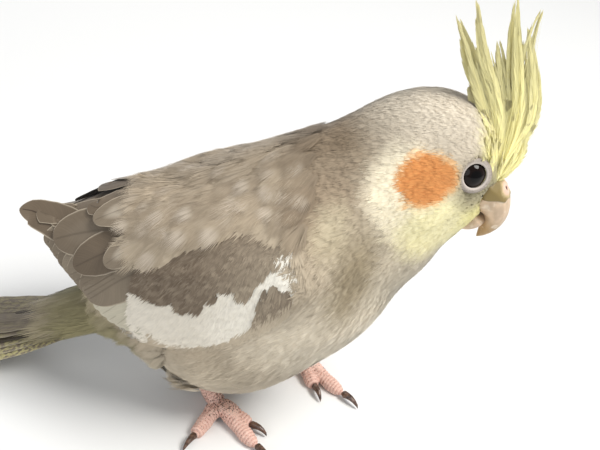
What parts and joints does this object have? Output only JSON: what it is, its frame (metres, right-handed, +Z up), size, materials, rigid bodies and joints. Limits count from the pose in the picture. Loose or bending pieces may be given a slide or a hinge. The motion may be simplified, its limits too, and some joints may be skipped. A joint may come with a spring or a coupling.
{
  "type": "cockatiel figure",
  "caption": "Life-size still model of a cockatiel standing low with raised crest, folded wings and its long tail laid back on the floor.",
  "frame": {"origin": "on the floor, under the middle of the model's outer box", "axes": "+X is the way the bird faces, +Y is its left side, +Z is up"},
  "size_m": [0.2434, 0.0649, 0.1423],
  "materials": {
    "body_feathers": "matt, soft warm grey-brown plumage, paler below",
    "head_feathers": "matt, pale grey-brown crown, pale yellow face, orange cheek patch",
    "wing_feathers": "matt, grey-brown with pale centres and a white band",
    "tail_feathers": "matt, grey-brown mottled with dull yellow",
    "crest_feathers": "matt, soft lemon yellow, greyer at the back",
    "bill": "smooth horn, pinkish beige, browner at the tip",
    "eye": "wet and glossy, nearly black brown",
    "foot_skin": "scaly pink skin with darker flecks",
    "claw": "smooth dark brown horn"
  },
  "bodies": {
    "root": {"head": "head_feathers", "neck": "body_feathers", "trunk": "body_feathers", "crest": "crest_feathers", "tail": "tail_feathers", "upper_bill": "bill", "lower_bill": "bill", "eye_right": "eye", "wing_right": "wing_feathers", "flight_feathers_right": "wing_feathers", "leg_right": "foot_skin", "foot_right": "foot_skin", "claw_right_1": "claw", "claw_right_2": "claw", "claw_right_3": "claw", "claw_right_4": "claw", "eye_left": "eye", "wing_left": "wing_feathers", "flight_feathers_left": "wing_feathers", "leg_left": "foot_skin", "foot_left": "foot_skin", "claw_left_1": "claw", "claw_left_2": "claw", "claw_left_3": "claw", "claw_left_4": "claw"}
  },
  "joints": []
}
